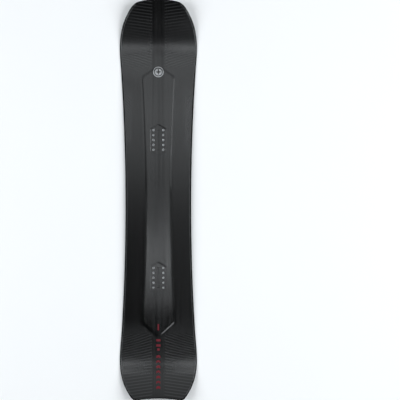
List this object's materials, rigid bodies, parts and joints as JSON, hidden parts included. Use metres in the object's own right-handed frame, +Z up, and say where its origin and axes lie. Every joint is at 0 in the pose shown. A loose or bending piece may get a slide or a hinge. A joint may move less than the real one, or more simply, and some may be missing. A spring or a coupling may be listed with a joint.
{
  "type": "snowboard",
  "caption": "Bare all-mountain snowboard: wood-core laminate with steel edges, a relief topsheet and packs of threaded binding inserts.",
  "frame": {"origin": "centre of the board's outline in plan, at the height of the snow it rests on", "axes": "+Y towards the nose, +X to the right seen from above with the nose up, +Z up out of the topsheet"},
  "size_m": [0.314, 1.63, 0.0539],
  "materials": {
    "topsheet": "gloss",
    "base": "satin",
    "base_inlay": "satin",
    "emblem": "brushed",
    "edge_steel": "dark, ground",
    "sidewall": "satin",
    "tip_fill": "satin",
    "glass_laminate": "resin",
    "carbon": "resin",
    "mat": "glass cloth in resin",
    "rubber": "matt",
    "insert_steel": "bright",
    "seal": "matt",
    "core_wood": "sanded",
    "stringer_wood": "sanded"
  },
  "bodies": {
    "root": {"base_sheet": "base", "base_emblem_inlay": "base_inlay", "steel_edge_left": "edge_steel", "steel_edge_right": "edge_steel", "nose_edge": "edge_steel", "tail_edge": "edge_steel", "edge_foil_left": "rubber", "edge_foil_right": "rubber", "lower_laminate": "glass_laminate", "sidewall_left": "sidewall", "sidewall_right": "sidewall", "nose_spacer": "tip_fill", "tail_spacer": "tip_fill", "front_inserts": "insert_steel", "rear_inserts": "insert_steel", "front_insert_seals": "seal", "rear_insert_seals": "seal", "front_binding_mat": "mat", "rear_binding_mat": "mat", "upper_laminate": "glass_laminate", "centre_carbon_band": "carbon", "topsheet_emblem": "emblem", "topsheet": "topsheet", "core_strip_01": "stringer_wood", "core_strip_02": "core_wood", "core_strip_03": "core_wood", "core_strip_04": "core_wood", "core_strip_05": "core_wood", "core_strip_06": "stringer_wood", "core_strip_07": "core_wood", "core_strip_08": "core_wood", "core_strip_09": "core_wood", "core_strip_10": "core_wood", "core_strip_11": "stringer_wood"}
  },
  "joints": []
}
